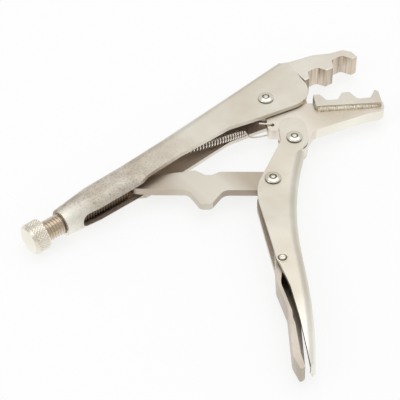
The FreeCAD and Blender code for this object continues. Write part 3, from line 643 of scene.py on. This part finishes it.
# %% Finish under construction
class Finish:
    """A material or world under construction, with one method that adds any node."""

    def __init__(self, owner, shader="Principled BSDF", place="Object"):
        owner.use_nodes = True
        self.owner = owner
        self.nodes = owner.node_tree.nodes
        self.links = owner.node_tree.links
        self.shader = self.nodes[shader]
        self.place = self.add("ShaderNodeTexCoord", output=place)

    def add(self, kind, settings=None, inputs=None, output=0):
        """Any node: its settings first, then the values or links of its sockets."""
        node = self.nodes.new(kind)
        for name, value in (settings or {}).items():
            setattr(node, name, value)
        for name, value in (inputs or {}).items():
            if isinstance(value, Socket):
                self.links.new(value.output, node.inputs[name])
            else:
                node.inputs[name].default_value = value
        return Socket(self, node.outputs[output])

    def noise(self, size, detail=2.0, rough=0.5, place=None):
        """Noise whose features are about a size in millimetres."""
        return self.add("ShaderNodeTexNoise", inputs={"Vector": place or self.place, "Scale": 1 / (size * MM),
                                                      "Detail": detail, "Roughness": rough}, output="Fac")

    def along(self, axis):
        """One coordinate of the place."""
        return self.add("ShaderNodeSeparateXYZ", inputs={"Vector": self.place}, output=axis)

    def stretched(self, x, y, z):
        """Place measured with a stretch along each axis."""
        return self.add("ShaderNodeVectorMath", {"operation": "MULTIPLY"}, {0: self.place, 1: (x, y, z)},
                        output="Vector")

    def spread(self, value, low, high, to_low=0.0, to_high=1.0):
        """Stretches a range of values to another and holds it there."""
        return self.add("ShaderNodeMapRange", {"clamp": True},
                        {"Value": value, "From Min": low, "From Max": high,
                         "To Min": to_low, "To Max": to_high})

    def blend(self, factor, first, second):
        """Colour between two colours."""
        return self.add("ShaderNodeMix", {"data_type": "RGBA"},
                        {"Factor": factor, "A": first, "B": second}, output="Result")

    def bump(self, height, distance, under=None):
        """Normal that a height gives, in millimetres."""
        inputs = {"Height": height, "Distance": distance * MM}
        if under:
            inputs["Normal"] = under
        return self.add("ShaderNodeBump", inputs=inputs)

    def wire(self, **sockets):
        """Values or links for the shader's own sockets."""
        for name, value in sockets.items():
            target = self.shader.inputs[name.replace("_", " ")]
            if isinstance(value, Socket):
                self.links.new(value.output, target)
            else:
                target.default_value = value
        return self.owner


def srgb(red, green, blue):
    """Colour written as it looks on a screen, from 0 to 255."""
    levels = []
    for value in (red, green, blue):
        share = value / 255
        levels.append(share / 12.92 if share <= 0.04045 else ((share + 0.055) / 1.055) ** 2.4)
    return (*levels, 1)


def coat(piece, *materials):
    """Materials for a piece, in the order of its slots."""
    for material in materials:
        piece.data.materials.append(material)
    print(piece.name, "wears", ", ".join(material.name for material in materials))


print("middle grey on a screen is", round(srgb(128, 128, 128)[0], 3), "in light")

# %% [markdown]
# Plain satin nickel is a warm grey metal. Its colour drifts a little over a hand's width, and
# its gloss drifts more, because polishing and plating are never even. Both come from soft
# noise on object coordinates, so the pattern stays on the steel when a piece moves.

# %% Satin nickel
def nickel(name, pale, warm, rough, grain, grain_depth, gloss_drift=0.1):
    """Satin nickel plate: two close colours, a drifting gloss and a fine grain."""
    finish = Finish(bpy.data.materials.new(name))
    broad = finish.noise(26, 3, 0.55)
    fine = finish.noise(3.5, 4, 0.6)
    colour = finish.blend(finish.spread(broad, 0.35, 0.65), pale, warm)
    gloss = rough + (broad - 0.5) * gloss_drift + (fine - 0.5) * (gloss_drift * 0.6)
    normal = finish.bump(finish.noise(grain, 3, 0.6), grain_depth)
    finish.wire(Base_Color=colour, Metallic=1.0, Roughness=gloss, Normal=normal)
    return finish, colour, gloss, normal


def plain(*recipe):
    """Satin nickel with nothing added."""
    return nickel(*recipe)[0].owner


sheet_pale, sheet_warm = srgb(225, 221, 208), srgb(215, 206, 191)
# Painted highlight: near-white nickel for the slot's cut walls and the lower jaw's underside.
painted_highlight_nickel = plain("painted_highlight_edge_nickel", srgb(252, 250, 240), srgb(244, 240, 228), 0.55, 0.9, 0.01)
print("plain nickel takes", len(painted_highlight_nickel.node_tree.nodes), "nodes")

# %% [markdown]
# The rear of the upper handle was rolled round the nut and kept the skin of the raw sheet, so
# it is dull and pebbled there, with dark specks in the hollows. Towards the jaws it was ground
# smooth. Two textures could be painted and joined by hand, but a mask along the tool's length
# fades one into the other and needs no seam. A second mask holds the nut end, where the upper
# side gets painted shade, brown and mottled, and the lower side a painted highlight, nearly white.

# %% Finish of the upper handle
def pebbled_nickel():
    """Sheet nickel whose rear is pebbled, browner in the hollows and stained in large patches, with painted
    shade above and a painted highlight below at the nut end.
    """
    finish, colour, gloss, normal = nickel("satin_nickel_rolled_painted_light", sheet_pale, sheet_warm, 0.42, 0.9, 0.012)
    x, y = finish.along("X"), finish.along("Y")
    rolled = finish.spread(x, jaw_pivot.x - 84 * MM, jaw_pivot.x - 40 * MM, 1, 0)
    nut_end_light_and_shade = finish.spread(x, jaw_pivot.x - 126 * MM, jaw_pivot.x - 110 * MM, 1, 0)
    painted_highlight_lower_side = finish.spread(y, screw_y + 3 * MM, screw_y - 1.5 * MM)
    upper_side = finish.spread(y, screw_y + 1 * MM, screw_y + 4 * MM, 0, 0.85)
    pebble = finish.noise(0.8, 5, 0.7)
    patch = finish.spread(finish.noise(7, 3, 0.6), 0.4, 0.62, 0, 0.45)
    speck = finish.spread(pebble, 0.5, 0.34, 0, 0.55)
    scale = finish.spread(finish.noise(5, 3, 0.6), 0.35, 0.52)
    colour = finish.blend(patch * rolled, colour, srgb(184, 167, 149))
    # Painted shade: the upper side of the nut end is darkened brown, mottled by a noise.
    colour = finish.blend(nut_end_light_and_shade * upper_side * scale, colour, srgb(150, 132, 116))
    colour = finish.blend(speck * rolled, colour, srgb(118, 102, 88))
    # Painted highlight: the lower side of the nut end is whitened.
    colour = finish.blend(nut_end_light_and_shade * painted_highlight_lower_side * 0.85, colour, srgb(255, 253, 242))
    return finish.wire(Base_Color=colour, Roughness=gloss + rolled * 0.04,
                       Normal=finish.bump(pebble * rolled, 0.38, under=normal))


channel_nickel = plain("channel_nickel", srgb(238, 224, 210), srgb(218, 203, 189), 0.5, 0.8, 0.25)
coat(upper_handle, pebbled_nickel(), painted_highlight_nickel, channel_nickel)

# %% [markdown]
# The lower handle gets a painted highlight that makes it paler towards its tip. Its inner side gets
# painted shade, with painted light above the lever's pin and the darkest shade in the gap below it.
# A mask along the handle gives both, in the same way as on the upper handle.

# %% Finish of the lower handle and the lever
def handle_finish():
    """Lower handle's sheet, with a painted highlight that makes it paler towards its tip."""
    finish, colour, _, _ = nickel("satin_nickel_sheet_painted_light", sheet_pale, sheet_warm, 0.42, 0.9, 0.012)
    # Painted highlight: the sheet turns paler towards the handle's tip.
    painted_light_tip = finish.spread(finish.along("Y"), lever_pivot.y - 20 * MM, lever_pivot.y - 42 * MM)
    return finish.wire(Base_Color=finish.blend(painted_light_tip, colour, srgb(245, 242, 232)))


def painted_shade_inside_finish():
    """Painted shade for the inner side of a folded sheet: painted light above the lever's pin and darker in the
    gap below it.
    """
    finish, colour, _, _ = nickel("sheet_inside_painted_shade", srgb(160, 140, 125), srgb(132, 115, 102), 0.5, 0.9, 0.02)
    lit = finish.spread(finish.along("Y"), lever_pivot.y - 2 * MM, lever_pivot.y + 8 * MM)
    return finish.wire(Base_Color=finish.blend(lit, colour, srgb(220, 207, 192)))


# Painted shade: a dark nickel for the inner sides of the lower handle and the lever.
painted_shade_inside_nickel = painted_shade_inside_finish()
# Painted shade: the lever wears a darker nickel than the sheet.
lever_painted_shade_nickel = plain("lever_painted_shade_nickel", srgb(208, 199, 186), srgb(186, 175, 161), 0.42, 0.9, 0.012)
coat(lower_handle, handle_finish(), painted_shade_inside_nickel)
coat(release_lever, lever_painted_shade_nickel, painted_shade_inside_nickel)

# %% [markdown]
# A forging is a little brighter than sheet. The nests were ground, which leaves streaks across
# the jaw: noise that is stretched along the tool's thickness makes them. The nest walls look
# down and get painted shade, browner than the jaw. Beside the weld the lower jaw is browner and
# grainier, from the heat. The distance from one point of the weld gives a round patch, and the
# way the surface faces keeps it on the flat side.

# %% Finishes of the jaws
def nest_wall_painted_shade():
    """Wall of a nest in painted shade: browner, with streaks along the grinding, paler in the front nest."""
    # Painted shade: the downward-facing nest walls get a browner nickel than the jaw.
    finish, colour, _, normal = nickel("nest_wall_painted_shade", srgb(226, 213, 196), srgb(206, 192, 174),
                                       0.34, 0.6, 0.01)
    upright = finish.stretched(1, 1, 0.04)
    paler_front_nest = finish.spread(finish.along("X"), jaw_pivot.x + 44 * MM, jaw_pivot.x + 36 * MM, 0.45, 1)
    broad_streak = finish.spread(finish.noise(5.5, 2, 0.5, place=upright), 0.44, 0.6, 0, 0.8) * paler_front_nest
    streak = finish.noise(0.9, 3, 0.6, place=upright)
    colour = finish.blend(broad_streak, colour, srgb(132, 114, 98))
    colour = finish.blend(finish.spread(streak, 0.48, 0.68, 0, 0.45), colour, srgb(140, 122, 106))
    return finish.wire(Base_Color=colour, Normal=finish.bump(streak, 0.08, under=normal))


def stained_forging():
    """Forged nickel with a browner, grainier patch beside the weld."""
    finish, colour, _, normal = nickel("stained_forging", srgb(237, 232, 220), srgb(226, 217, 204),
                                       0.4, 0.6, 0.015)
    hot_spot = tuple(foot_rear + (foot_front - foot_rear) * 0.3)
    far = finish.add("ShaderNodeVectorMath", {"operation": "DISTANCE"}, {0: finish.place, 1: hot_spot},
                     output="Value")
    tilt = finish.add("ShaderNodeTexCoord", output="Normal")
    level = finish.add("ShaderNodeSeparateXYZ", inputs={"Vector": tilt}, output="Z")
    patch = finish.spread(far, 7 * MM, 20 * MM, 0.8, 0) * finish.spread(level, 0.75, 0.97)
    grain = finish.noise(0.7, 4, 0.7)
    colour = finish.blend(patch * finish.spread(grain, 0.3, 0.6, 0.5, 1), colour, srgb(198, 185, 164))
    return finish.wire(Base_Color=colour, Normal=finish.bump(grain * patch, 0.1, under=normal))


jaw_nickel = plain("satin_nickel_forging", srgb(232, 227, 215), srgb(221, 212, 199), 0.4, 0.6, 0.015)
block_nickel = plain("die_block_nickel", srgb(222, 217, 204), srgb(212, 203, 189), 0.4, 0.6, 0.015)
coat(upper_jaw, jaw_nickel, nest_wall_painted_shade())
coat(die_block, block_nickel)
coat(lower_jaw, stained_forging(), painted_highlight_nickel)

# %% [markdown]
# The link gets painted shade towards both ends, so it is brightest round its tooth.
# Two masks along the tool, multiplied, leave the middle bright.

# %% Finish of the link
def link_finish():
    """Plate with painted shade towards both ends, so it is brightest round its tooth."""
    finish, colour, _, _ = nickel("link_nickel_painted_shade", srgb(198, 187, 172), srgb(184, 172, 156), 0.42, 0.6, 0.015)
    x = finish.along("X")
    # Painted shade towards both ends of the link.
    rear = finish.spread(x, link_pivot.x - 42 * MM, link_pivot.x - 30 * MM)
    front = finish.spread(x, link_pivot.x - 8 * MM, link_pivot.x - 18 * MM)
    return finish.wire(Base_Color=finish.blend(rear * front, colour, srgb(214, 209, 196)))


# Painted shade: a darker nickel for the link's cut underside.
painted_shade_side_nickel = plain("painted_shade_cut_side_nickel", srgb(186, 174, 160), srgb(160, 148, 134), 0.36, 0.6, 0.02)
coat(toggle_link, link_finish(), painted_shade_side_nickel)

# %% [markdown]
# The small pieces are brighter than the sheet, because their plating lies on turned steel.
# The rivets shine most. Their skirts and stamped rings get a darker nickel as painted shade. The
# thread gets painted shade inside the handle, where the tube shades it, and stays clean outside.
# A weld bead is rough, so its spots darken the colour and lift the surface together.

# %% Finishes of the small pieces
def screw_nickel():
    """Thread with painted shade inside the handle, where the tube shades it, and clean outside."""
    finish, colour, _, _ = nickel("thread_steel", srgb(217, 204, 187), srgb(196, 182, 166), 0.26, 0.5, 0.01)
    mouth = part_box("upper_handle")[0].x
    # Painted shade: the thread darkens where it runs inside the handle.
    shaded_in_tube = finish.spread(finish.along("X"), mouth - 0.9 * MM, mouth - 0.2 * MM)
    return finish.wire(Base_Color=finish.blend(shaded_in_tube, colour, srgb(122, 106, 92)))


def weld_nickel():
    """Rough mottled bead."""
    finish, colour, _, normal = nickel("nickel_weld", srgb(240, 234, 218), srgb(220, 210, 192), 0.4, 0.6, 0.05)
    spot = finish.noise(0.9, 4, 0.7)
    colour = finish.blend(finish.spread(spot, 0.48, 0.64, 0, 0.6), colour, srgb(150, 136, 118))
    return finish.wire(Base_Color=colour, Normal=finish.bump(spot, 0.22, under=normal))


rivet_nickel = plain("bright_nickel", srgb(232, 228, 214), srgb(220, 214, 198), 0.15, 0.7, 0.004, 0.04)
# Painted shade: a dark nickel for the rivets' skirts and rings.
rivet_painted_shade_nickel = plain("rivet_painted_shade", srgb(138, 126, 112), srgb(112, 101, 90), 0.35, 0.5, 0.01)
for piece in (jaw_rivet, handle_rivet, link_rivet, lever_pin):
    coat(piece, rivet_nickel, rivet_painted_shade_nickel)
bead_nickel = weld_nickel()
for piece in welds:
    coat(piece, bead_nickel)
knob_nickel = plain("nickel_knurl", srgb(246, 242, 230), srgb(226, 219, 204), 0.27, 0.5, 0.01)
# Painted light: the knob's end face wears a paler copy of the knurl's nickel.
painted_light_knob_face = plain("nickel_knob_end_painted_light", srgb(255, 252, 241), srgb(243, 238, 225), 0.3, 0.5, 0.01)
coat(knob, knob_nickel, painted_light_knob_face)
coat(screw, screw_nickel())
coat(spring, plain("spring_wire_steel", srgb(236, 230, 222), srgb(220, 210, 198), 0.24, 0.5, 0.005))

# %% [markdown]
# The studio floor is pale paper, which shows the tool's soft shadow. Metal shows what lies
# around it, so mirrored rays see the floor as plain white, and the camera sees most of that
# white too, with a little of the shaded paper left in it. Brighter lamps would whiten the
# floor as well, but they would also burn out the steel.

# %% Floor
camera_share = 0.78
floor_mesh = bpy.data.meshes.new("floor")
shape = bmesh.new()
bmesh.ops.create_grid(shape, x_segments=1, y_segments=1, size=3)
shape.to_mesh(floor_mesh)
shape.free()
floor = bpy.data.objects.new("floor", floor_mesh)
bpy.context.scene.collection.objects.link(floor)
floor.location.z = -0.2 * MM
paper = Finish(bpy.data.materials.new("pale_floor"))
paper.wire(Base_Color=srgb(250, 250, 250), Roughness=0.9, Specular_IOR_Level=0.0)
seen, mirrored, through = [paper.add("ShaderNodeLightPath", output=kind)
                           for kind in ("Is Camera Ray", "Is Glossy Ray", "Is Transmission Ray")]
white = paper.add("ShaderNodeEmission", inputs={"Color": (1, 1, 1, 1), "Strength": 1.0})
painted = Socket(paper, paper.shader.outputs["BSDF"])
glow = seen * camera_share + mirrored + through
mixed = paper.add("ShaderNodeMixShader", inputs={0: glow, 1: painted, 2: white})
paper.links.new(mixed.output, paper.nodes["Material Output"].inputs["Surface"])
coat(floor, paper.owner)

# %% [markdown]
# A flat steel plate mirrors one patch of the sky, and a bend mirrors the rest down to the
# horizon. So the sky is even overhead and darker near the horizon, and that alone shades the
# bends. One large lamp overhead and a smaller one from the side lift it a little. Both are
# discs, since a hard lamp would leave a hard glint.

# %% Sky and lamps
world = bpy.data.worlds.new("studio")
bpy.context.scene.world = world
sky = Finish(world, "Background", "Generated")
height = sky.spread(sky.along("Z"), 0.04, 0.26)
sky.wire(Color=sky.blend(height, (0.62, 0.61, 0.59, 1), (0.78, 0.78, 0.78, 1)), Strength=1.0)
middle = jaw_pivot + Vector((-67.06, -30.73, 0)) * MM


def toward(azimuth, elevation):
    """Direction from the tool, turned from the front and raised from the floor, in degrees."""
    turn, rise = math.radians(azimuth), math.radians(elevation)
    return Vector((math.sin(turn) * math.cos(rise), -math.cos(turn) * math.cos(rise), math.sin(rise)))


def aimed(holder, direction, distance):
    """Puts a lamp or camera on a direction from the tool and turns it to the tool's middle."""
    bpy.context.scene.collection.objects.link(holder)
    holder.location = middle + direction * distance
    holder.rotation_mode = "QUATERNION"
    holder.rotation_quaternion = (-direction).to_track_quat("-Z", "Y")


lamp_distance = 0.9
for name, size, power, azimuth, elevation in (("overhead_lamp", 0.8, 1.5, 120, 70),
                                              ("side_lamp", 0.5, 1.0, -100, 35)):
    lamp = bpy.data.lights.new(name, "AREA")
    lamp.shape = "DISK"
    lamp.size = size
    lamp.energy = power
    aimed(bpy.data.objects.new(name, lamp), toward(azimuth, elevation), lamp_distance)
    print(name, size, "m across,", power, "W")

# %% [markdown]
# The photograph was taken from well above the tool's left front, from far enough away that
# its lines barely converge. A long lens at seven hundred millimetres does the same.

# %% Camera
camera_data = bpy.data.cameras.new("camera")
camera_data.sensor_width = 36
camera_data.lens = 135
camera_data.clip_start = 0.01
camera = bpy.data.objects.new("camera", camera_data)
aimed(camera, toward(-39.03, 45), 704.2 * MM)
bpy.context.scene.camera = camera
bpy.context.scene.view_settings.view_transform = "Standard"
print("camera at", [round(value / MM) for value in camera.location], "mm")
